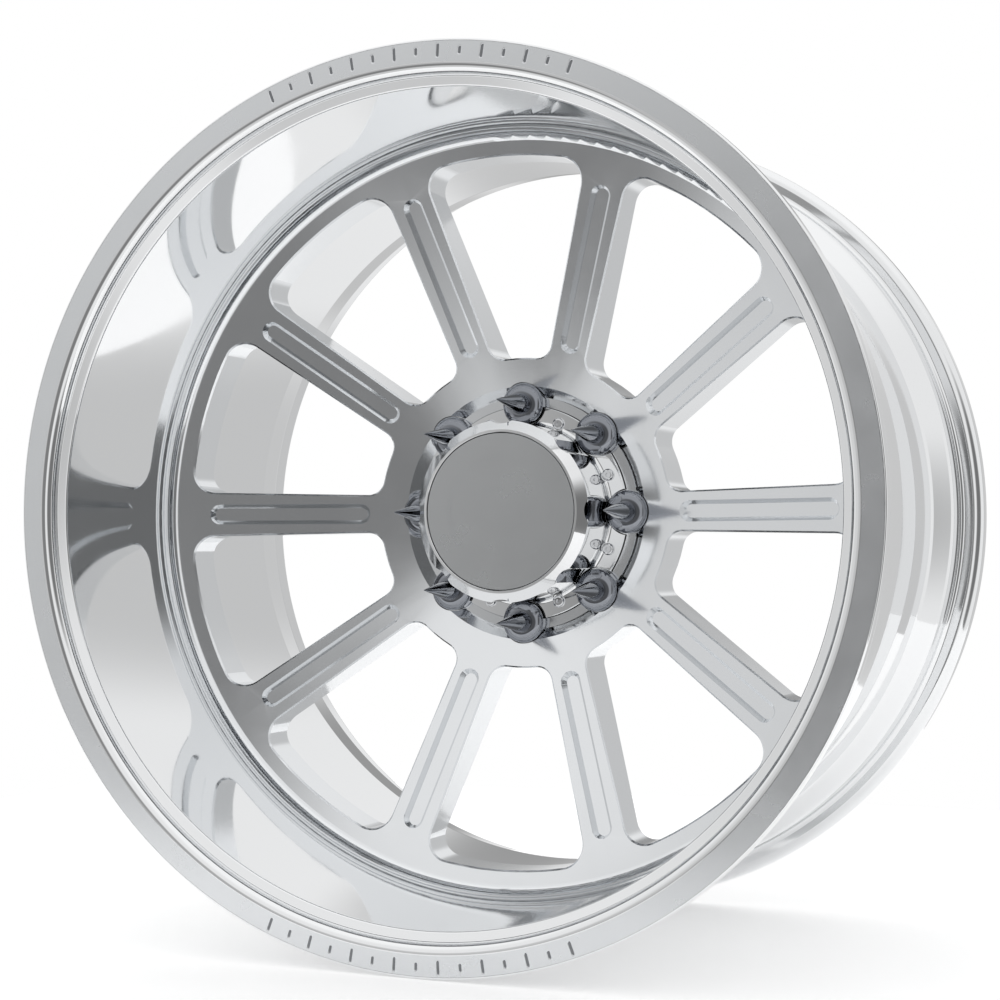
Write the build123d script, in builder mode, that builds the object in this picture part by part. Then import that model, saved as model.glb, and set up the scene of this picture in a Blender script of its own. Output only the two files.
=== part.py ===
"""A 24 x 14 forged truck wheel: a spun barrel with a forged ten-spoke centre welded in,
a screwed-on centre cap, eight covered lug nuts with spikes, and a clamp-in tyre valve.

Millimetres. The wheel turns about Y. Its street side faces -Y, and +Z is up.
The origin is on the axis, in the plane of the pad that bolts against the vehicle's hub.
"""

from build123d import *
import math
import os

os.makedirs("parts", exist_ok=True)

# ---------------------------------------------------------------- driving dimensions
inch = 25.4
rim_diameter = 24 * inch + 4.8      # standard bead seat diameter of a 24 inch rim
rim_width = 14 * inch               # between the two tyre-side flange faces
offset = -49.0                      # hub pad, measured outwards from the rim's middle
flange_height = 17.3                # flange tip above the bead seat
flange_thickness = 18.2             # flange's tyre side to the rim's outermost plane

bolt_circle = 170.0
lug_count = 8
lug_hole_r = 8.0
lug_seat_angle = 30.0               # half of the 60 degree cone seat
lug_seat_r = 12.5                   # cone seat at the pocket floor
hub_bore_r = 62.5
pad_thickness = 32.0                # hub pad to the floor under the cap and the nuts
pad_r = 116.0                       # flat of the pad, at the spokes' feet

spoke_count = 10
spoke_half_foot = 15.0              # half a spoke's width at its foot
spoke_half_tip = 18.0               # and where it meets the outer ring
window_inner_r = 120.7
outer_ring_wall = 8.9               # centre's outer ring, outside the windows
window_foot_fillet = 13.0
window_tip_fillet = 17.0
window_edge_break = 1.2

dish_depth = 149.0                  # rim's front plane to the top of the centre's rolled edge
edge_height = 10.8                  # rolled edge above the spoke face
edge_width = 5.5                    # rolled edge
cove_r = 5.0                        # between the spoke face and the rolled edge
centre_flange_thickness = 16.0      # the step that rests on the barrel's shoulder
ring_depth = 34.0                   # spoke face to the back of the outer ring
hub_thickness = 38.6                # hub pad to the edge of the hub recess
recess_r = 99.0                     # recess in the hub face round the cap
recess_floor_r = 91.5

lip_wall = 6.5
lip_front_r_below_seat = 7.7        # inside of the lip at its front, below the bead seat
lip_back_r_below_seat = 13.7        # and at the centre
well_r_below_seat = 20.7            # outside of the drop centre, below the bead seat
well_wall = 5.5
well_ramp = 35.0                    # gentle ramp from the drop centre to the rear hump
seat_wall = 8.0                     # barrel wall under the rear bead seat
bead_seat_width = 21.0
bead_taper = 5.0                    # degrees
hump_height = 1.3
lip_face_width = 16.5
lip_roll = 7.5

cap_r = 69.7
cap_wall_r = 69.2
cap_inner_r = 63.5
cap_height = 57.5                   # from the recess floor to the rim round the badge
cap_bevel_height = 5.0
cap_rim_r = 62.3
cap_front_wall = 4.0
cap_groove = 0.8
cap_flange_r = 83.7
cap_flange_thickness = 4.0
cap_foot_fillet = 3.5
badge_r = 59.8
badge_gap = 0.5
badge_thickness = 2.0
badge_below_rim = 0.6
badge_ring_below_rim = 0.7          # rubber ring round the badge
gasket_thickness = 0.8              # rubber gasket under the cap's flange
gasket_proud = 0.4                  # how far its edge shows
flute_r = 18.0                      # socket room round each nut
screw_circle_r = 74.5
screw_count = 8
screw_r = 2.5
screw_length = 12.0
screw_head_r = 4.75
screw_head_height = 2.75
screw_socket_af = 3.0

nut_af = 22.0
nut_thread_r = 7.0
nut_height = 8.0                    # hexagon, above the pocket floor
nut_end_wall = 1.5
cover_r = 16.6
cover_height = 12.3                 # above the pocket floor
cover_face_r = 8.6                  # flat that the spike stands on
cover_mouth = 0.7                   # how much smaller the cover is at its open edge
cover_lift = 0.5                    # open edge above the pocket floor
spike_r = 8.2
spike_bulge = 0.35                  # how far the flank of the spike stands out
spike_length = 50.4
spike_tip_r = 0.4
spike_stud_r = 3.0
spike_stud_length = 2.4

valve_side = -1                     # which side of the wheel along X
valve_setback = 42.0                # valve axis behind the centre's outer ring
valve_hole_r = 5.75
valve_spot_r = 9.8
valve_spot_depth = 0.35
valve_shank_r = 4.0
valve_flange_r = 8.5
valve_flange_thickness = 3.0
grommet_flange = 2.0
valve_washer_thickness = 1.5
valve_nut_thickness = 5.0
valve_nut_af = 12.0
valve_reach = 21.6                  # spot face to the stem's mouth
valve_thread_r = 3.85               # cap thread at the mouth
valve_cap_r = 5.4
valve_cap_length = 11.0
valve_air_r = 1.3
valve_chamber_r = 2.5
valve_chamber_depth = 16.0
core_length = 9.0
core_bore_r = 1.2
pin_r = 0.5
pin_seal_r = 1.9
pin_seal_thickness = 1.2
pin_travel = 1.0
spring_wire = 0.25
spring_r = 1.7
spring_turns = 3

tick_count = 15                     # index ticks on the lip, in two groups
tick_pitch = 3.0                    # degrees
tick_width = 2.2
tick_long = 10.0
tick_short = 6.0
tick_depth = 0.5

running = 0.08                      # radial clearance of a running fit
seam = 0.05                         # radial gap between pieces that never part
slip = 0.15                         # gap on each flat of the cover's socket
clear = 0.5                         # open gap between curved faces

# ---------------------------------------------------------------- places that follow
seat_r = rim_diameter / 2
flange_r = seat_r + flange_height
half_overall = rim_width / 2 + flange_thickness
front_y = offset - half_overall
rear_y = offset + half_overall
lug_r = bolt_circle / 2
lug_step = 360 / lug_count

lip_front_r = seat_r - lip_front_r_below_seat
lip_back_r = seat_r - lip_back_r_below_seat
lip_face_r = flange_r - lip_face_width
well_r = seat_r - well_r_below_seat
well_inner_r = well_r - well_wall

edge_y = front_y + dish_depth
face_rim_y = edge_y + edge_height
shoulder_y = edge_y + centre_flange_thickness
ring_back_y = face_rim_y + ring_depth
floor_y = -pad_thickness
recess_y = -hub_thickness

centre_r = well_inner_r - seam
window_outer_r = centre_r - outer_ring_wall
edge_r = lip_back_r - edge_width
face_rim_r = edge_r - cove_r
spoke_slope = (recess_y - face_rim_y) / (face_rim_r - recess_r)


def face_y(r):
    """Y of the conical spoke face at radius r."""
    return face_rim_y + (face_rim_r - r) * spoke_slope


def polar(radius, degrees):
    """A point in the XZ plane."""
    a = math.radians(degrees)
    return (radius * math.cos(a), radius * math.sin(a))


def save(piece, name):
    """Label a finished piece and write its STEP."""
    piece.part.label = name
    export_step(piece.part, f"parts/{name}.step")


# ---------------------------------------------------------------- rim barrel
front_root = 6.0                    # fillet between the street-side flange and its seat
rear_root = 4.0
hump_width = 6.0
flange_curl = 8.5                   # rounded tyre-side edge of each flange
edge_break = 1.5
lip_step = 1.5                      # straight step below the rolled edge of the lip
lip_relief = 2.0                    # and the short cone under it
hump_run = 14.0                     # from each hump down to the drop centre's level
lip_run = 8.0                       # from the street-side hump down to the lip wall
cone_start = 12.0                   # drop centre's front cone, behind the shoulder
well_lead = 14.0                    # drop centre's flat, behind the outer ring
ramp_height = 5.5                   # how far the gentle ramp climbs
ramp_in_lag = 6.0                   # inside of the ramp, behind its outside
rise_in_lag = 3.0
mouth_depth = 20.0                  # flared vehicle-side mouth
mouth_flare = 8.0
mouth_land = 4.0
mouth_break = 3.0

seat_drop = bead_seat_width * math.tan(math.radians(bead_taper))
front_side_y = front_y + flange_thickness
front_seat_y = front_side_y + front_root
front_seat_end = front_seat_y + bead_seat_width
rear_side_y = rear_y - flange_thickness
rear_seat_y = rear_side_y - rear_root
rear_seat_end = rear_seat_y - bead_seat_width
seat_low_r = seat_r - seat_drop
hump_r = seat_low_r + hump_height
lip_roll_r = lip_face_r - lip_roll
lip_step_y = front_y + lip_roll + lip_step
lip_start_y = lip_step_y + lip_relief
lip_out_r = lip_back_r + lip_wall
lip_out_y = front_seat_end + hump_width + lip_run
well_front_y = ring_back_y + well_lead
ramp_end_y = rear_seat_end - hump_width - hump_run
ramp_end_r = well_r + ramp_height
ramp_start_y = ramp_end_y - well_ramp
rear_inner_r = seat_r - seat_wall

with BuildPart() as barrel:
    with BuildSketch(Plane.XY):
        with BuildLine():
            # street-side flange: flat face, rolled inner edge, small step, lip wall
            face = Line((flange_r - edge_break, front_y), (lip_face_r, front_y))
            roll = RadiusArc(face @ 1, (lip_roll_r, front_y + lip_roll), lip_roll)
            step = Polyline(roll @ 1, (lip_roll_r, lip_step_y), (lip_front_r, lip_start_y))
            lip = Line(step @ 1, (lip_back_r, shoulder_y))
            # the shoulder that the centre rests on, then the inside of the drop centre
            shoulder = Line(lip @ 1, (well_inner_r, shoulder_y))
            well_in = Line(shoulder @ 1, (well_inner_r, ramp_start_y + ramp_in_lag))
            ramp_in = Line(well_in @ 1, (ramp_end_r - well_wall, ramp_end_y + rise_in_lag))
            rise_in = Line(ramp_in @ 1, (rear_inner_r, rear_seat_end + rise_in_lag))
            seat_in = Line(rise_in @ 1, (rear_inner_r, rear_y - mouth_depth))
            flare = Line(seat_in @ 1, (rear_inner_r + mouth_flare, rear_y - mouth_land))
            # vehicle-side flange, bead seat, hump and the outside of the drop centre
            mouth = Line(flare @ 1, (rear_inner_r + mouth_flare + mouth_break, rear_y))
            back = Line(mouth @ 1, (flange_r - edge_break, rear_y))
            tip_b = RadiusArc(back @ 1, (flange_r, rear_y - edge_break), edge_break)
            rim_b = Line(tip_b @ 1, (flange_r, rear_side_y + flange_curl))
            curl_b = RadiusArc(rim_b @ 1, (flange_r - flange_curl, rear_side_y), flange_curl)
            side_b = Line(curl_b @ 1, (seat_r + rear_root, rear_side_y))
            root_b = RadiusArc(side_b @ 1, (seat_r, rear_seat_y), -rear_root)
            seat_b = Line(root_b @ 1, (seat_low_r, rear_seat_end))
            hump_b = ThreePointArc(
                seat_b @ 1,
                (hump_r, rear_seat_end - hump_width / 2),
                (seat_low_r, rear_seat_end - hump_width),
            )
            rise_b = Line(hump_b @ 1, (ramp_end_r, ramp_end_y))
            ramp_b = Line(rise_b @ 1, (well_r, ramp_start_y))
            well_b = Line(ramp_b @ 1, (well_r, well_front_y))
            cone_b = Line(well_b @ 1, (lip_out_r, shoulder_y + cone_start))
            # outside of the lip, street-side hump, bead seat and flange
            lip_b = Line(cone_b @ 1, (lip_out_r, lip_out_y))
            rise_f = Line(lip_b @ 1, (seat_low_r, front_seat_end + hump_width))
            hump_f = ThreePointArc(
                rise_f @ 1,
                (hump_r, front_seat_end + hump_width / 2),
                (seat_low_r, front_seat_end),
            )
            seat_f = Line(hump_f @ 1, (seat_r, front_seat_y))
            root_f = RadiusArc(seat_f @ 1, (seat_r + front_root, front_side_y), -front_root)
            side_f = Line(root_f @ 1, (flange_r - flange_curl, front_side_y))
            curl_f = RadiusArc(side_f @ 1, (flange_r, front_side_y - flange_curl), flange_curl)
            rim_f = Line(curl_f @ 1, (flange_r, front_y + edge_break))
            RadiusArc(rim_f @ 1, face @ 0, edge_break)
        make_face()
    revolve(axis=Axis.Y)
    # engraved index ticks, one group at the top of the lip and one at the bottom
    tick_r = (flange_r + lip_face_r) / 2
    with BuildSketch(Plane.XZ.offset(-front_y)):
        for group in (90, 270):
            for k in range(tick_count):
                angle = group + (k - (tick_count - 1) / 2) * tick_pitch
                length = tick_long if k % 2 == 0 else tick_short
                with Locations(Location((*polar(tick_r, angle), 0), angle)):
                    SlotOverall(length, tick_width)
    extrude(amount=-tick_depth, mode=Mode.SUBTRACT)
    # valve hole between a flat spot inside and one outside the drop centre
    valve_y = ring_back_y + valve_setback
    spot_in = well_inner_r + valve_spot_depth
    spot_out = well_r - valve_spot_depth
    bore_start = well_r + well_wall
    for x, r, depth in (
        (spot_in, valve_spot_r, -2 * well_wall),
        (bore_start, valve_hole_r, -3 * well_wall),
        (spot_out, valve_spot_r, well_wall),
    ):
        with BuildSketch(Plane.YZ.offset(valve_side * x)):
            with Locations((valve_y, 0)):
                Circle(r)
        extrude(amount=valve_side * depth, mode=Mode.SUBTRACT)
save(barrel, "rim_barrel")

# ---------------------------------------------------------------- forged centre
pocket_width = 16.0
pocket_floor_width = 10.0
pocket_depth = 4.5
pocket_inner_r = window_inner_r + 8.0
pocket_outer_r = window_outer_r - 15.0
pocket_rise = 2.0                   # how far the cutter stands above the face
pocket_gap = 0.6                    # round a nut cover in its pocket

with BuildPart() as pocket_cutter:
    # one spoke's milled pocket, square to the sloping face, with sloping walls
    tilt = math.atan(spoke_slope)
    middle_r = (pocket_inner_r + pocket_outer_r) / 2
    length = (pocket_outer_r - pocket_inner_r) / math.cos(tilt)
    along = Vector(math.cos(tilt), -math.sin(tilt), 0)
    outward = Vector(-math.sin(tilt), -math.cos(tilt), 0)
    spoke_plane = Plane(origin=(middle_r, face_y(middle_r), 0), x_dir=along, z_dir=outward)
    narrowing = pocket_width - pocket_floor_width
    spread = narrowing * pocket_rise / pocket_depth
    with BuildSketch(spoke_plane.offset(pocket_rise)):
        SlotOverall(length + spread, pocket_width + spread)
    with BuildSketch(spoke_plane.offset(-pocket_depth)):
        SlotOverall(length - narrowing, pocket_floor_width)
    loft()

with BuildSketch() as window:
    # the opening between the spoke at 0 degrees and the next one
    spoke_pitch = 360 / spoke_count
    with BuildLine():
        corners = []
        for spoke, side in ((0, 1), (spoke_pitch, -1)):
            for r, half in (
                (window_inner_r, spoke_half_foot),
                (window_outer_r, spoke_half_tip),
            ):
                turn = side * math.degrees(math.asin(half / r))
                corners.append(polar(r, spoke + turn))
        low_in, low_out, high_in, high_out = corners
        Line(low_in, low_out)
        ThreePointArc(low_out, polar(window_outer_r, spoke_pitch / 2), high_out)
        Line(high_out, high_in)
        ThreePointArc(high_in, polar(window_inner_r, spoke_pitch / 2), low_in)
    make_face()
    fillet(vertices().sort_by_distance((0, 0, 0))[:2], window_foot_fillet)
    fillet(vertices().sort_by_distance((0, 0, 0))[-2:], window_tip_fillet)

with BuildPart() as centre:
    with BuildSketch(Plane.XY):
        with BuildLine():
            hub = Polyline(
                (hub_bore_r, 0),
                (hub_bore_r, floor_y + 1),
                (hub_bore_r + 1, floor_y),
                (recess_floor_r, floor_y),
                (recess_r, recess_y),
                (face_rim_r, face_rim_y),
            )
            cove = TangentArc(hub @ 1, (edge_r, face_rim_y - cove_r), tangent=hub % 1)
            edge = Polyline(
                cove @ 1,
                (edge_r, edge_y + 1.5),
                (edge_r + 1.0, edge_y),
                (edge_r + 2.2, edge_y),
                (edge_r + 2.7, edge_y + 0.8),
                (edge_r + 3.2, edge_y),
                (lip_back_r - 1.4, edge_y),
                (lip_back_r - seam, edge_y + 1.2),
                (lip_back_r - seam, shoulder_y),
                (centre_r, shoulder_y),
                (centre_r, ring_back_y),
                (window_outer_r - 4, ring_back_y),
                (pad_r + 4, -0.8),
                (pad_r, 0),
                (hub_bore_r, 0),
            )
        make_face()
    revolve(axis=Axis.Y)
    # windows between the spokes, their street-side edges broken
    with BuildSketch(Plane.XZ):
        with PolarLocations(0, spoke_count):
            add(window.sketch)
    extrude(amount=rim_width, both=True, mode=Mode.SUBTRACT)
    cones = faces().filter_by(GeomType.CONE).filter_by(lambda f: f.area > 1e4)
    spoke_face = cones.sort_by(Axis.Y)[0]
    window_edges = [e for w in spoke_face.inner_wires() for e in w.edges()]
    chamfer(window_edges, window_edge_break)
    for k in range(spoke_count):
        add(pocket_cutter.part.rotate(Axis.Y, -k * spoke_pitch), mode=Mode.SUBTRACT)
    # pockets that clear the nut covers, lug holes, and their cone seats
    with BuildSketch(Plane.XZ.offset(-floor_y)):
        with PolarLocations(lug_r, lug_count):
            Circle(cover_r + pocket_gap)
    extrude(amount=pad_thickness, mode=Mode.SUBTRACT)
    with BuildSketch(Plane.XZ):
        with PolarLocations(lug_r, lug_count):
            Circle(lug_hole_r)
    extrude(amount=pad_thickness, mode=Mode.SUBTRACT)
    seat_slope = math.tan(math.radians(lug_seat_angle))
    seat_depth = (lug_seat_r - lug_hole_r) / seat_slope
    for k in range(lug_count):
        for y, r in ((floor_y, lug_seat_r), (floor_y + seat_depth, lug_hole_r)):
            with BuildSketch(Plane.XZ.offset(-y)):
                with Locations(polar(lug_r, k * lug_step)):
                    Circle(r)
        loft(mode=Mode.SUBTRACT)
    # tapped holes for the cap screws
    with BuildSketch(Plane.XZ.offset(-floor_y)):
        with PolarLocations(screw_circle_r, screw_count, start_angle=lug_step / 2):
            Circle(screw_r + seam)
    extrude(amount=-(screw_length - cap_flange_thickness + 2), mode=Mode.SUBTRACT)
save(centre, "forged_centre")

with BuildPart() as weld:
    # fillet weld round the back of the centre, inside the drop centre
    weld_leg = 6.0
    weld_r = well_inner_r - seam
    with BuildSketch(Plane.XY):
        with BuildLine():
            toe = (weld_r - weld_leg, ring_back_y)
            corner = (weld_r, ring_back_y)
            top = (weld_r, ring_back_y + weld_leg)
            Polyline(toe, corner, top)
            RadiusArc(top, toe, -weld_leg * 1.6)
        make_face()
    revolve(axis=Axis.Y)
save(weld, "weld_bead")

# ---------------------------------------------------------------- centre cap
cap_top_y = floor_y - cap_height
flange_top_y = floor_y - cap_flange_thickness
badge_seat_y = cap_top_y + badge_below_rim + badge_thickness
badge_seat_r = badge_r + badge_gap
cap_base_y = floor_y - gasket_thickness
bevel_y = cap_top_y + cap_bevel_height

with BuildPart() as cap:
    with BuildSketch(Plane.XY):
        with BuildLine():
            front = Polyline(
                (cap_wall_r + cap_foot_fillet, flange_top_y),
                (cap_flange_r - 0.6, flange_top_y),
                (cap_flange_r, flange_top_y + 0.6),
                (cap_flange_r, cap_base_y),
                (cap_inner_r, cap_base_y),
                (cap_inner_r, badge_seat_y + cap_front_wall),
                (0, badge_seat_y + cap_front_wall),
                (0, badge_seat_y),
                (badge_seat_r, badge_seat_y),
                (badge_seat_r, cap_top_y + 0.3),
                (badge_seat_r + 0.3, cap_top_y),
                (cap_rim_r, cap_top_y),
                (cap_r, bevel_y),
                (cap_r, bevel_y + 0.8),
                (cap_wall_r - cap_groove, bevel_y + 1.0),
                (cap_wall_r - cap_groove, bevel_y + 2.0),
                (cap_wall_r, bevel_y + 2.4),
                (cap_wall_r, flange_top_y - cap_foot_fillet),
            )
            RadiusArc(front @ 1, front @ 0, cap_foot_fillet)
        make_face()
    revolve(axis=Axis.Y)
    # socket room round the nuts, screw holes, and room for the screw heads
    with BuildSketch(Plane.XZ.offset(-floor_y)):
        with PolarLocations(lug_r, lug_count):
            Circle(flute_r)
    extrude(amount=cap_height, mode=Mode.SUBTRACT)
    for y, r, height in (
        (floor_y, screw_r + seam, cap_flange_thickness),
        (flange_top_y, screw_head_r + clear, 3 * screw_head_height),
    ):
        with BuildSketch(Plane.XZ.offset(-y)):
            with PolarLocations(screw_circle_r, screw_count, start_angle=lug_step / 2):
                Circle(r)
        extrude(amount=height, mode=Mode.SUBTRACT)
save(cap, "cap_body")

with BuildPart() as badge:
    # plain turned disc with three fine grooves and eight drilled dots
    face_plane = Plane.XZ.offset(-badge_seat_y + badge_thickness)
    with BuildSketch(Plane.XZ.offset(-badge_seat_y)):
        Circle(badge_r)
    extrude(amount=badge_thickness)
    chamfer(edges().sort_by(Axis.Y)[0], 0.3)
    for r in (18.0, 40.0, 42.5):
        with BuildSketch(face_plane):
            Circle(r + 0.5)
            Circle(r - 0.5, mode=Mode.SUBTRACT)
        extrude(amount=-0.4, mode=Mode.SUBTRACT)
    with BuildSketch(face_plane):
        with PolarLocations(29.0, lug_count):
            Circle(1.6)
    extrude(amount=-0.4, mode=Mode.SUBTRACT)
save(badge, "cap_badge")

with BuildPart() as badge_ring:
    # rubber ring in the gap between the badge and the cap's rim
    with BuildSketch(Plane.XZ.offset(-badge_seat_y)):
        Circle(badge_seat_r - seam)
        Circle(badge_r + seam, mode=Mode.SUBTRACT)
    extrude(amount=badge_thickness + badge_below_rim - badge_ring_below_rim)
save(badge_ring, "badge_ring")

with BuildPart() as gasket:
    # rubber gasket cut to the flange's outline, its edge just showing
    with BuildSketch(Plane.XZ.offset(-floor_y)):
        Circle(cap_flange_r + gasket_proud)
        Circle(cap_inner_r, mode=Mode.SUBTRACT)
        with PolarLocations(lug_r, lug_count):
            Circle(flute_r - gasket_proud, mode=Mode.SUBTRACT)
        with PolarLocations(screw_circle_r, screw_count, start_angle=lug_step / 2):
            Circle(screw_r + seam, mode=Mode.SUBTRACT)
    extrude(amount=gasket_thickness)
save(gasket, "cap_gasket")


def cap_screw(k):
    """Button-head screw k, its head on the cap's flange."""
    place = polar(screw_circle_r, (k + 0.5) * lug_step)
    with BuildPart() as screw:
        with BuildSketch(Plane.XZ.offset(-flange_top_y)):
            with Locations(place):
                Circle(screw_head_r)
        extrude(amount=screw_head_height)
        fillet(edges().sort_by(Axis.Y)[0], screw_head_height * 0.7)
        with BuildSketch(Plane.XZ.offset(-flange_top_y + screw_head_height)):
            with Locations(place):
                RegularPolygon(screw_socket_af / 2, 6, major_radius=False)
        extrude(amount=-screw_head_height * 0.6, mode=Mode.SUBTRACT)
        with BuildSketch(Plane.XZ.offset(-flange_top_y)):
            with Locations(place):
                Circle(screw_r)
        extrude(amount=-screw_length)
    return screw


for k in range(screw_count):
    save(cap_screw(k), f"cap_screw_{k + 1}")

# ---------------------------------------------------------------- lug nuts, covers, spikes
nut_base_y = floor_y - 0.3
nut_tip_y = floor_y + seat_depth - 0.5
nut_top_y = floor_y - nut_height
cover_base_y = floor_y - cover_lift
cover_top_y = floor_y - cover_height
cover_wide_y = cover_top_y + 5.3
spike_tip_y = cover_top_y - spike_length


def seat_cone_r(y):
    """Radius of a nut's cone at height y, a running clearance inside its seat."""
    return lug_seat_r - (y - floor_y) * seat_slope - running


def lug_nut(place):
    """Closed-end cone-seat nut, a hexagon above the pocket floor."""
    with BuildPart() as nut:
        for y in (nut_base_y, nut_tip_y):
            with BuildSketch(Plane.XZ.offset(-y)):
                with Locations(place):
                    Circle(seat_cone_r(y))
        loft()
        with BuildSketch(Plane.XZ.offset(-nut_base_y)):
            with Locations(place):
                RegularPolygon(nut_af / 2, 6, major_radius=False)
        extrude(amount=nut_base_y - nut_top_y)
        chamfer(faces().sort_by(Axis.Y)[0].edges(), 0.8)
        with BuildSketch(Plane.XZ.offset(-nut_tip_y)):
            with Locations(place):
                Circle(nut_thread_r)
        extrude(amount=nut_tip_y - nut_top_y - nut_end_wall, mode=Mode.SUBTRACT)
    return nut


def turning_plane(place):
    """Plane through a nut's axis, with local x outwards from that axis and local y along Y."""
    return Plane(origin=(place[0], 0, place[1]), x_dir=(1, 0, 0), z_dir=(0, 0, 1))


def lug_cover(place):
    """Round cover that pushes over the nut's hexagon and carries the spike."""
    with BuildPart() as cover:
        with BuildSketch(turning_plane(place)):
            with BuildLine():
                EllipticalCenterArc(
                    (cover_face_r, cover_wide_y),
                    cover_r - cover_face_r,
                    cover_wide_y - cover_top_y,
                    start_angle=-90,
                    arc_size=90,
                )
                Line((cover_r, cover_wide_y), (cover_r, cover_base_y - 2))
                RadiusArc(
                    (cover_r, cover_base_y - 2),
                    (cover_r - cover_mouth, cover_base_y),
                    -2.4,
                )
                Polyline(
                    (cover_r - cover_mouth, cover_base_y),
                    (0, cover_base_y),
                    (0, cover_top_y),
                    (cover_face_r, cover_top_y),
                )
            make_face()
        revolve(axis=Axis((place[0], 0, place[1]), (0, 1, 0)))
        with BuildSketch(Plane.XZ.offset(-cover_base_y)):
            with Locations(place):
                RegularPolygon(nut_af / 2 + slip, 6, major_radius=False)
        extrude(amount=cover_base_y - nut_top_y + slip, mode=Mode.SUBTRACT)
        with BuildSketch(Plane.XZ.offset(-cover_top_y)):
            with Locations(place):
                Circle(spike_stud_r + seam)
        extrude(amount=-spike_stud_length - slip, mode=Mode.SUBTRACT)
    return cover


def lug_spike(place):
    """Slender spike with a slightly full flank, on a short stud that screws into the cover."""
    with BuildPart() as spike:
        with BuildSketch(turning_plane(place)):
            with BuildLine():
                Polyline(
                    (0, spike_tip_y),
                    (0, cover_top_y + spike_stud_length),
                    (spike_stud_r, cover_top_y + spike_stud_length),
                    (spike_stud_r, cover_top_y),
                    (spike_r, cover_top_y),
                )
                ThreePointArc(
                    (spike_r, cover_top_y),
                    (spike_r / 2 + spike_bulge, cover_top_y - spike_length / 2),
                    (spike_tip_r, spike_tip_y + spike_tip_r),
                )
                Line((spike_tip_r, spike_tip_y + spike_tip_r), (0, spike_tip_y))
            make_face()
        revolve(axis=Axis((place[0], 0, place[1]), (0, 1, 0)))
    return spike


for k in range(lug_count):
    lug_place = polar(lug_r, k * lug_step)
    save(lug_nut(lug_place), f"lug_nut_{k + 1}")
    save(lug_cover(lug_place), f"lug_cover_{k + 1}")
    save(lug_spike(lug_place), f"lug_spike_{k + 1}")

# ---------------------------------------------------------------- tyre valve
# It lies along X, its flange on the tyre side and its mouth towards the wheel's axis.
# Distances along it are measured from the wheel's axis.
mouth_x = spot_in - valve_reach
stem_base_x = spot_out + grommet_flange
chamber_x = mouth_x + valve_chamber_depth
core_x = mouth_x + 1.5
seal_x = core_x + core_length
spring_x = seal_x + pin_seal_thickness + pin_travel + 0.2
valve_axis = Axis((0, valve_y, 0), (1, 0, 0))


def turned(*points):
    """A closed outline of (distance, radius) points, turned about the valve's axis."""
    with BuildPart() as piece:
        with BuildSketch(Plane.XY):
            with BuildLine():
                Polyline(*[(valve_side * x, valve_y + r) for x, r in points], close=True)
            make_face()
        revolve(axis=valve_axis)
    return piece


stem = turned(
    (stem_base_x + valve_flange_thickness, valve_air_r),
    (stem_base_x + valve_flange_thickness, valve_flange_r),
    (stem_base_x, valve_flange_r),
    (stem_base_x, valve_shank_r),
    (mouth_x + 9, valve_shank_r),
    (mouth_x + 8.5, valve_thread_r),
    (mouth_x + 0.4, valve_thread_r),
    (mouth_x, valve_thread_r - 0.4),
    (mouth_x, valve_chamber_r),
    (chamber_x, valve_chamber_r),
    (chamber_x, valve_air_r),
)
save(stem, "valve_stem")

grommet = turned(
    (stem_base_x, valve_shank_r + seam),
    (stem_base_x, valve_flange_r),
    (spot_out, valve_flange_r),
    (spot_out, valve_hole_r - seam),
    (spot_in + 0.3, valve_hole_r - seam),
    (spot_in + 0.3, valve_shank_r + seam),
)
save(grommet, "valve_grommet")

washer = turned(
    (spot_in, valve_shank_r + seam),
    (spot_in, valve_flange_r),
    (spot_in - valve_washer_thickness, valve_flange_r),
    (spot_in - valve_washer_thickness, valve_shank_r + seam),
)
save(washer, "valve_washer")

with BuildPart() as clamp_nut:
    with BuildSketch(Plane.YZ.offset(valve_side * (spot_in - valve_washer_thickness))):
        with Locations((valve_y, 0)):
            RegularPolygon(valve_nut_af / 2, 6, major_radius=False)
            Circle(valve_shank_r + seam, mode=Mode.SUBTRACT)
    extrude(amount=-valve_side * valve_nut_thickness)
    chamfer(faces().sort_by_distance((0, valve_y, 0))[0].outer_wire().edges(), 0.5)
save(clamp_nut, "valve_nut")

core = turned(
    (core_x, core_bore_r),
    (core_x, valve_chamber_r - seam),
    (seal_x, valve_chamber_r - seam),
    (seal_x, core_bore_r),
)
save(core, "valve_core")

pin = turned(
    (mouth_x + 0.5, 0),
    (mouth_x + 0.5, pin_r),
    (seal_x + 0.05, pin_r),
    (seal_x + 0.05, pin_seal_r),
    (seal_x + 0.05 + pin_seal_thickness, pin_seal_r),
    (seal_x + 0.05 + pin_seal_thickness, 0),
)
save(pin, "valve_pin")

with BuildPart() as spring:
    spring_height = chamber_x - spring_x - 2 * spring_wire
    with BuildLine():
        coil = Helix(
            spring_height / spring_turns,
            spring_height,
            spring_r,
            center=(valve_side * (spring_x + spring_wire), valve_y, 0),
            direction=(valve_side, 0, 0),
        )
    with BuildSketch(Plane(origin=coil @ 0, z_dir=coil % 0)):
        Circle(spring_wire)
    sweep(is_frenet=True)
save(spring, "valve_spring")

cap_mouth_x = mouth_x + 8
dust_cap = turned(
    (mouth_x - 1, 0),
    (mouth_x - 1, valve_thread_r + running),
    (cap_mouth_x, valve_thread_r + running),
    (cap_mouth_x, valve_cap_r),
    (cap_mouth_x - valve_cap_length + 1, valve_cap_r),
    (cap_mouth_x - valve_cap_length, valve_cap_r - 1),
    (cap_mouth_x - valve_cap_length, 0),
)
save(dust_cap, "valve_cap")
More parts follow.
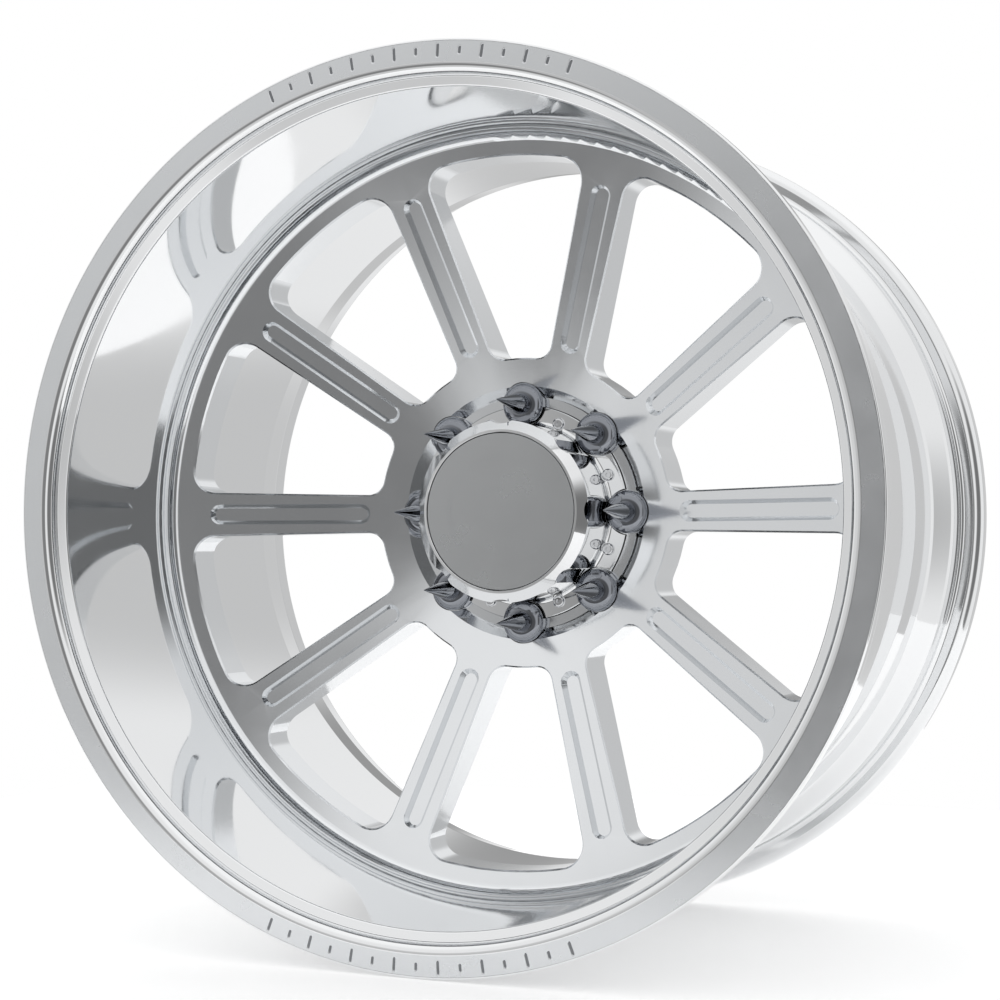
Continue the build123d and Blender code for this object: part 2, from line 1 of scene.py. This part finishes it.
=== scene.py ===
# %% [markdown]
# # A deep-lip forged wheel
# The wheel is a spun and polished aluminium barrel with a forged ten-spoke centre welded in.
# A hollow cap is screwed over the hub, and each lug nut wears a chromed cover with a spike.
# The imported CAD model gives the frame: every size here starts from its boxes, in metres,
# with the wheel's axis along Y, the street side towards -Y, and +Z up.

# %% Load the frame
import math

import bpy
import numpy as np
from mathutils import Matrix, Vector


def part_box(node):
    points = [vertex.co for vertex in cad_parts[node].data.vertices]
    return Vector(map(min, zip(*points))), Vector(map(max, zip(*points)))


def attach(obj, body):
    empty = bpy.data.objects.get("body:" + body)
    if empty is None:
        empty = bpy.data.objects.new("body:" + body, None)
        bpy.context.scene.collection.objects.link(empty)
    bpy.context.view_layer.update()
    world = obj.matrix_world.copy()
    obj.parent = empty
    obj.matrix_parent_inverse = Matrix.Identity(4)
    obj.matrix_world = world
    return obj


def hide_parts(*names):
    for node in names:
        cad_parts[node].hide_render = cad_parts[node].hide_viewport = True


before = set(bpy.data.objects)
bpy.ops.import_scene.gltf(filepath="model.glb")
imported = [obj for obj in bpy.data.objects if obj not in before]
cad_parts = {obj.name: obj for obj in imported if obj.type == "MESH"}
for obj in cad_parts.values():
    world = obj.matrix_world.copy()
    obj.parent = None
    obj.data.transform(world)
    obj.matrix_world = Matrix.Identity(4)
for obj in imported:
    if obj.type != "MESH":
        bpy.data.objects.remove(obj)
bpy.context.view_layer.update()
mm = 0.001
low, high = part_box("rim_barrel")
front_y, rear_y = low[1], high[1]
flange_r = high[0]
lug_count = 8
print("wheel", round(2 * flange_r, 4), "m across,", round(rear_y - front_y, 4), "m deep")

# %% [markdown]
# ## Turning a profile
# Nearly everything on a wheel is turned on a lathe, so most pieces are surfaces of revolution.
# A screw modifier could do it, but working the grid out as arrays keeps the control: the
# profile's corners get true fillets, and short holding steps beside each fillet keep the long
# straight stretches from shading as if they were curved. That matters on a mirror finish.

# %% Rounded profiles
hold = 0.25 * mm


def rounded(corners, steps=5):
    """A profile through corners (radius, y, fillet), with each corner replaced by an arc.

    The arc starts at distance fillet * tan(turn / 2) before the corner and ends as far after
    it. Its points are the corner's two tangent points joined by a rational quadratic curve
    whose middle weight is cos(turn / 2), which is an exact circular arc.
    """
    c = np.array([p[:2] for p in corners], float)
    path = [c[0]]
    for i in range(1, len(c) - 1):
        u = (c[i - 1] - c[i]) / np.linalg.norm(c[i - 1] - c[i])
        v = (c[i + 1] - c[i]) / np.linalg.norm(c[i + 1] - c[i])
        turn = math.pi - math.acos(np.clip(u @ v, -1, 1))
        reach = corners[i][2] * math.tan(turn / 2)
        if reach < 1e-7:
            path.append(c[i])
            continue
        t = np.linspace(0, 1, steps + 1)[:, None]
        w = math.cos(turn / 2)
        near, mid, far = (1 - t) ** 2, 2 * w * t * (1 - t), t**2
        top = near * (c[i] + u * reach) + mid * c[i] + far * (c[i] + v * reach)
        arc = top / (near + mid + far)
        path += [c[i] + u * (reach + hold), *arc, c[i] + v * (reach + hold)]
    path.append(c[-1])
    return np.array(path)


# %% Turned surfaces
def make_piece(name, verts, faces, material):
    """A smooth mesh object from arrays of vertices and faces, riding on the wheel itself."""
    mesh = bpy.data.meshes.new(name)
    mesh.from_pydata(verts.tolist(), [], faces.tolist())
    mesh.polygons.foreach_set("use_smooth", np.ones(len(mesh.polygons), bool))
    mesh.update()
    piece = bpy.data.objects.new(name, mesh)
    bpy.context.scene.collection.objects.link(piece)
    mesh.materials.append(material)
    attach(piece, "root")
    print(name, len(mesh.vertices), "points")
    return piece


def turned_grid(profile, around):
    """Vertices and quads of a profile (radius, y) turned about the Y axis.

    Point (i, j) is profile point i at angle j: x = r cos a, y = y, z = r sin a.
    Angles increase from +X towards +Z. around is a number of even steps, or the angles.
    """
    a = np.linspace(0, 2 * math.pi, around, endpoint=False) if np.isscalar(around) else around
    r, y = profile[:, :1], profile[:, 1:]
    x = r * np.cos(a)
    z = r * np.sin(a)
    verts = np.stack([x, np.broadcast_to(y, x.shape), z], -1).reshape(-1, 3)
    rows, columns = x.shape
    i = np.arange(rows - 1)[:, None]
    j = np.arange(columns)[None, :]
    i2, j2 = i + 1, (j + 1) % columns
    quads = np.stack(
        [i * columns + j, i * columns + j2, i2 * columns + j2, i2 * columns + j], -1
    ).reshape(-1, 4)
    return verts, quads


# %% [markdown]
# ## Materials
# Polished and brushed aluminium, chrome, plated steel, brass and rubber are all made with the
# same few nodes, so one helper adds a node with its settings and links. Colours are sRGB hex
# values turned to linear by one function.


# %% Helpers for materials
def linear(hex_colour):
    """sRGB hex to linear red, green, blue and alpha."""
    c = np.array([int(hex_colour[i : i + 2], 16) for i in (0, 2, 4)]) / 255
    c = np.where(c <= 0.04045, c / 12.92, ((c + 0.055) / 1.055) ** 2.4)
    return (*c.tolist(), 1.0)


def node(tree, kind, settings=(), **inputs):
    """Adds a node, sets its properties, and fills inputs with values or links by name."""
    n = tree.nodes.new("ShaderNode" + kind)
    for key, value in dict(settings).items():
        setattr(n, key, value)
    for key, value in inputs.items():
        socket = n.inputs[int(key[1:])] if key[0] == "_" else n.inputs[key.replace("_", " ")]
        if isinstance(value, bpy.types.NodeSocket):
            tree.links.new(value, socket)
        else:
            socket.default_value = value
    return n


def metal(name, colour, roughness, spread=0.0, patch=40.0, **more):
    """A metal whose roughness wanders by spread over patches of that size in mm.

    Returns the material, its tree, its shader and the object coordinates, so that a finish
    can add its own grain.
    """
    m = bpy.data.materials.new(name)
    m.use_nodes = True
    tree = m.node_tree
    shader = tree.nodes["Principled BSDF"]
    shader.inputs["Base Color"].default_value = linear(colour)
    shader.inputs["Metallic"].default_value = 1.0
    shader.inputs["Roughness"].default_value = roughness
    for key, value in more.items():
        shader.inputs[key.replace("_", " ")].default_value = value
    place = node(tree, "TexCoord").outputs["Object"]
    if spread:
        cloud = node(tree, "TexNoise", Vector=place, Scale=1000 / patch, Detail=4.0)
        span = node(
            tree,
            "MapRange",
            Value=cloud.outputs["Fac"],
            _1=0.3,
            _2=0.7,
            _3=roughness - spread,
            _4=roughness + spread,
        )
        tree.links.new(span.outputs["Result"], shader.inputs["Roughness"])
    return m, tree, shader, place


def bump(tree, shader, height, distance_mm):
    """Turns a height from 0 to 1 into a relief of that depth in mm."""
    relief = node(tree, "Bump", Height=height, Distance=distance_mm * mm)
    tree.links.new(relief.outputs["Normal"], shader.inputs["Normal"])


# %% [markdown]
# ### Mirror-polished aluminium
# The lip and barrel are buffed on wheels until they mirror. What gives polished aluminium away
# is a slightly wavy reflection and faint rings left by the lathe under the buffing.


# %% Polished aluminium
def polished(name, colour="E9EAEB", roughness=0.055, ring_mm=1.4, ring_depth_mm=0.00025):
    m, tree, shader, place = metal(name, colour, roughness, spread=0.02, patch=60)
    parts = node(tree, "SeparateXYZ", Vector=place)
    swell = node(tree, "TexNoise", Vector=place, Scale=1000 / 45, Detail=1.0)
    rings = node(
        tree,
        "TexNoise",
        {"noise_dimensions": "1D"},
        W=parts.outputs["Y"],
        Scale=1000 / ring_mm,
        Detail=2.0,
    )
    waves = node(tree, "Bump", Height=swell.outputs["Fac"], Distance=0.012 * mm)
    relief = node(
        tree,
        "Bump",
        Height=rings.outputs["Fac"],
        Distance=ring_depth_mm * mm,
        Normal=waves.outputs["Normal"],
    )
    tree.links.new(relief.outputs["Normal"], shader.inputs["Normal"])
    return m


# %% [markdown]
# ### Satin aluminium
# The spoke faces, the lip's edge and the badge are rubbed with a fine abrasive. The grain is far
# finer than a millimetre, and it is drawn 0.3 to 0.4 mm coarse so that it can show. On turned
# faces it runs round the axis, which stretches highlights.


# %% Satin aluminium
def satin(name, colour, roughness, turned=False, grain_mm=0.4):
    m, tree, shader, place = metal(name, colour, roughness, spread=0.02, patch=30)
    parts = node(tree, "SeparateXYZ", Vector=place)
    if turned:
        flat = node(tree, "CombineXYZ", X=parts.outputs["X"], Y=parts.outputs["Z"])
        radius = node(tree, "VectorMath", {"operation": "LENGTH"}, _0=flat.outputs["Vector"])
        grain = node(
            tree,
            "TexNoise",
            {"noise_dimensions": "1D"},
            W=radius.outputs["Value"],
            Scale=1000 / grain_mm,
            Detail=3.0,
        )
        shader.inputs["Anisotropic"].default_value = 0.55
        tangent = node(tree, "Tangent", {"direction_type": "RADIAL", "axis": "Y"})
        tree.links.new(tangent.outputs["Tangent"], shader.inputs["Tangent"])
    else:
        grain = node(tree, "TexNoise", Vector=place, Scale=1000 / grain_mm, Detail=3.0)
    bump(tree, shader, grain.outputs["Fac"], 0.002)
    return m


# %% [markdown]
# ### Chrome, steel, brass and rubber
# Chrome plating is smoother and darker than aluminium, so it mirrors with more contrast. Its
# colour here is set darker still than real chrome, a painted reflection of the dark surroundings
# in the lug covers and spikes. The nuts and washer are zinc plated, which is duller and patchy.
# The etched finish is for the floors of the index ticks, and the rubber is for the valve, the
# cap's gasket and its ring.

# %% The finishes
barrel_polish = polished("polished_aluminium")
cap_polish = polished("polished_cap", roughness=0.05, ring_depth_mm=0.0001)
spoke_satin = satin("satin_aluminium", colour="E4E6E8", roughness=0.12)
lip_satin = satin("lip_satin", colour="DCDEE0", roughness=0.26, turned=True)
etched = metal("etched_aluminium", "85878A", 0.5, spread=0.05, patch=3)[0]
badge_satin = satin("satin_badge", colour="C6C8C9", roughness=0.26, grain_mm=0.3)
# the chrome's grey 8B8E94 is darker than real chrome: painted reflection of dark surroundings
chrome = metal("chrome", "8B8E94", 0.03, spread=0.012, patch=12)[0]
screw_steel = metal("screw_steel", "D0D1D3", 0.1, spread=0.04, patch=4)[0]
plated = metal("plated_steel", "B4B5B2", 0.3, spread=0.1, patch=6)[0]
nickel = metal("nickel_brass", "C8C4BA", 0.18, spread=0.05, patch=5)[0]
brass = metal("bare_brass", "C9A24E", 0.22, spread=0.06, patch=4)[0]
spring_steel = metal("spring_steel", "A0A1A3", 0.25, spread=0.05, patch=2)[0]
weld_metal = metal("weld_aluminium", "C6C7C7", 0.32, spread=0.08, patch=5)[0]
cap_metal = metal("valve_cap_metal", "D2D3D5", 0.15, spread=0.05, patch=4)[0]
rubber = metal("black_rubber", "1C1C1D", 0.65, spread=0.08, patch=3, Metallic=0.0)[0]

finish_of = {
    "forged_centre": spoke_satin,
    "weld_bead": weld_metal,
    "cap_body": cap_polish,
    "cap_badge": badge_satin,
    "cap_gasket": rubber,
    "badge_ring": rubber,
    "valve_stem": nickel,
    "valve_grommet": rubber,
    "valve_washer": plated,
    "valve_nut": plated,
    "valve_core": brass,
    "valve_pin": brass,
    "valve_spring": spring_steel,
    "valve_cap": cap_metal,
}
for k in range(1, lug_count + 1):
    finish_of[f"cap_screw_{k}"] = screw_steel
    finish_of[f"lug_nut_{k}"] = plated
    finish_of[f"lug_cover_{k}"] = chrome
    finish_of[f"lug_spike_{k}"] = chrome
for name, finish in finish_of.items():
    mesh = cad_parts[name].data
    for i in range(max(1, len(mesh.materials))):
        if mesh.materials:
            mesh.materials[i] = finish
        else:
            mesh.materials.append(finish)
print(len(finish_of), "carried-over pieces have their finish")

# %% [markdown]
# ## The barrel
# The barrel is one closed profile turned about the axis: the street-side flange, the deep lip,
# the step that the centre rests on, the drop centre, and the vehicle-side flange. Depths are
# counted from the street side's outer plane.

# %% Barrel profile

def barrel_corner(radius_mm, depth_mm, fillet_mm=1.0):
    """A profile corner from a radius, a depth behind the front plane and a fillet, in mm."""
    return (radius_mm * mm, front_y + depth_mm * mm, fillet_mm * mm)


barrel_corners = [
    barrel_corner(323.0, 0),
    barrel_corner(324.5, 0, 1.4),
    barrel_corner(324.5, 18.2, 9),
    barrel_corner(307.4, 18.2, 5),
    barrel_corner(306.2, 40.0, 3),
    barrel_corner(306.9, 46.5, 2),
    barrel_corner(305.2, 52.0, 2),
    barrel_corner(300.0, 60.0, 6),
    barrel_corner(300.0, 176.0, 14),
    barrel_corner(286.5, 208.0, 20),
    barrel_corner(286.5, 294.5, 20),
    barrel_corner(292.0, 329.0, 8),
    barrel_corner(305.0, 343.0, 2.5),
    barrel_corner(306.7, 346.0, 1.5),
    barrel_corner(305.5, 350.5, 1.5),
    barrel_corner(307.3, 373.8, 4),
    barrel_corner(324.5, 373.8, 8),
    barrel_corner(324.5, 392.0, 1.5),
    barrel_corner(310.2, 392.0, 2),
    barrel_corner(307.2, 388.0, 2),
    barrel_corner(299.2, 372.0, 4),
    barrel_corner(299.2, 352.0, 4),
    barrel_corner(286.5, 333.0, 8),
    barrel_corner(281.0, 300.5, 12),
    barrel_corner(281.0, 165.0, 0.5),
    barrel_corner(293.5, 165.0, 0.5),
    barrel_corner(293.7, 13.0, 2),
    barrel_corner(300.5, 10.0, 0.7),
    barrel_corner(300.5, 0, 7.4),
    barrel_corner(308.3, 0),
]
barrel = make_piece(
    "polished_barrel",
    *turned_grid(rounded(barrel_corners, steps=6)[::-1], 600),
    material=barrel_polish,
)
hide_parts("rim_barrel")

# %% [markdown]
# ## The lip's face, with its index ticks
# The flat edge of the lip is rubbed satin, and two groups of fine ticks are cut into it, as on a
# dial. They are real relief: the ring is a fine polar grid, and each point sinks by a depth that
# grows from 0 at the edge of a slot to its full value 0.35 mm further in. Only the stretches with
# ticks need the fine grid, so the angles are closer there.

# %% Lip face
tick_depth, tick_wall = 0.5 * mm, 0.35 * mm
tick_half = 1.1 * mm
tick_long, tick_short = 10.0 * mm, 6.0 * mm
tick_pitch, tick_count = 3.0, 15
ticks = range(tick_count)
groups = (90, 270)
middle = tick_count // 2
tick_angles = np.radians([g + (k - middle) * tick_pitch for g in groups for k in ticks])
tick_lengths = np.array([tick_long if k % 2 == 0 else tick_short for _ in groups for k in ticks])
fine = np.radians(np.arange(-24, 24, 0.06))
coarse = np.radians(np.arange(-66, 66, 0.6))
quarter = math.pi / 2
angles = np.concatenate([coarse, quarter + fine, 2 * quarter + coarse, 3 * quarter + fine])
lip_in, lip_out = 308.3 * mm, 323.0 * mm
tick_r = (308.0 * mm + flange_r) / 2
radii = np.linspace(lip_out, lip_in, 42)
grid, quads = turned_grid(np.stack([radii, np.full(len(radii), front_y)], 1), angles)
span = np.arctan2(grid[:, 2], grid[:, 0])
reach = np.hypot(grid[:, 0], grid[:, 2])
off = (span[:, None] - tick_angles + math.pi) % (2 * math.pi) - math.pi
along = np.abs(reach[:, None] - tick_r) - (tick_lengths / 2 - tick_half)
across = np.abs(off) * reach[:, None]
inside = tick_half - np.hypot(np.maximum(along, 0), across)
grid[:, 1] += tick_depth * np.clip(inside.max(1) / tick_wall, 0, 1)
lip_face = make_piece("lip_face", grid, quads, material=lip_satin)
lip_face.data.materials.append(etched)
sunk = grid[quads, 1].mean(1) > front_y + 0.6 * tick_depth
lip_face.data.polygons.foreach_set("material_index", sunk.astype(int))
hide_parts("rim_barrel")

# %% [markdown]
# ## Floor, light and camera
# A plain white floor sheet and soft light from all round. Polished metal shows only what it
# mirrors, so the surroundings carry soft patches of grey: some in front that shade the face of
# the wheel, one to the right that darkens the spokes' images in the lip, and three behind that
# shade the barrel.

# %% Floor
floor_half = 0.9
floor_z = low[2] - 0.0005
floor_mesh = bpy.data.meshes.new("floor")
floor_mesh.from_pydata(
    [(x * floor_half, y * floor_half, floor_z) for x, y in ((-1, -1), (1, -1), (1, 1), (-1, 1))],
    [],
    [(0, 1, 2, 3)],
)
floor = bpy.data.objects.new("floor", floor_mesh)
bpy.context.scene.collection.objects.link(floor)
floor_paint = bpy.data.materials.new("pale_floor")
floor_paint.use_nodes = True
floor_shader = floor_paint.node_tree.nodes["Principled BSDF"]
floor_shader.inputs["Base Color"].default_value = linear("F4F4F4")
floor_shader.inputs["Roughness"].default_value = 0.9
floor_shader.inputs["Emission Color"].default_value = (1, 1, 1, 1)
floor_shader.inputs["Emission Strength"].default_value = 0.27
floor_mesh.materials.append(floor_paint)

# %% Surroundings
world = bpy.data.worlds.new("studio_tent")
bpy.context.scene.world = world
world.use_nodes = True
sky = world.node_tree
sky.nodes.clear()
direction = node(sky, "TexCoord").outputs["Generated"]


def lobe(azimuth, elevation, inner, outer):
    """1 in a soft patch of the surroundings around a direction, falling to 0, angles in degrees.

    Azimuth 0 is straight in front of the wheel, towards -Y, and grows towards +X.
    """
    a, e = math.radians(azimuth), math.radians(elevation)
    towards = (math.sin(a) * math.cos(e), -math.cos(a) * math.cos(e), math.sin(e))
    dot = node(sky, "VectorMath", {"operation": "DOT_PRODUCT"}, _0=direction, _1=towards)
    return node(
        sky,
        "MapRange",
        {"interpolation_type": "SMOOTHERSTEP"},
        Value=dot.outputs["Value"],
        _1=math.cos(math.radians(outer)),
        _2=math.cos(math.radians(inner)),
    ).outputs["Result"]


def shade(level, patch, value):
    """Mixes the brightness so far towards a value inside a patch."""
    return node(sky, "Mix", {"data_type": "FLOAT"}, _0=patch, _2=level, _3=value).outputs[0]


# each patch is a direction, an inner and an outer radius in degrees, and the brightness inside it
tone = node(sky, "Value").outputs[0]
tone.default_value = 0.95
for patch, value in (
    (lobe(0, 90, 20, 60), 1.1),
    (lobe(-50, 0, 8, 30), 0.76),
    (lobe(-24, 0, 3, 20), 0.62),
    (lobe(-22, -26, 5, 20), 0.68),
    (lobe(-24, -13, 4, 12), 0.25),
    (lobe(-4, -2, 9, 23), 0.24),
    (lobe(60, 0, 12, 32), 0.2),
    (lobe(158, 0, 14, 28), 0.64),
    (lobe(192, 10, 5, 15), 0.35),
    (lobe(192, -10, 5, 15), 0.6),
):
    tone = shade(tone, patch, value)
seen = node(sky, "LightPath").outputs["Is Camera Ray"]
plain = shade(tone, seen, 1.0)
light = node(sky, "Background", Color=(1, 1, 1, 1), Strength=plain)
node(sky, "OutputWorld", Surface=light.outputs["Background"])

# %% Camera
azimuth, elevation = math.radians(24.08), math.radians(-1.42)
flat = math.cos(elevation)
back = np.array([math.sin(azimuth) * flat, -math.cos(azimuth) * flat, math.sin(elevation)])
target = np.array([0.0, front_y, 0.0])
camera_distance = 1.4508
camera_data = bpy.data.cameras.new("camera")
camera_data.lens = 75.57
camera_data.sensor_width = 36.0
camera_data.shift_x = 0.0844
camera_data.shift_y = 0.0067
camera_data.clip_start = 0.05
camera_data.clip_end = 50
camera = bpy.data.objects.new("camera", camera_data)
bpy.context.scene.collection.objects.link(camera)
camera.location = (target + back * camera_distance).tolist()
camera.rotation_euler = (math.pi / 2 - elevation, 0, azimuth)
bpy.context.scene.camera = camera
bpy.context.scene.view_settings.view_transform = "Standard"
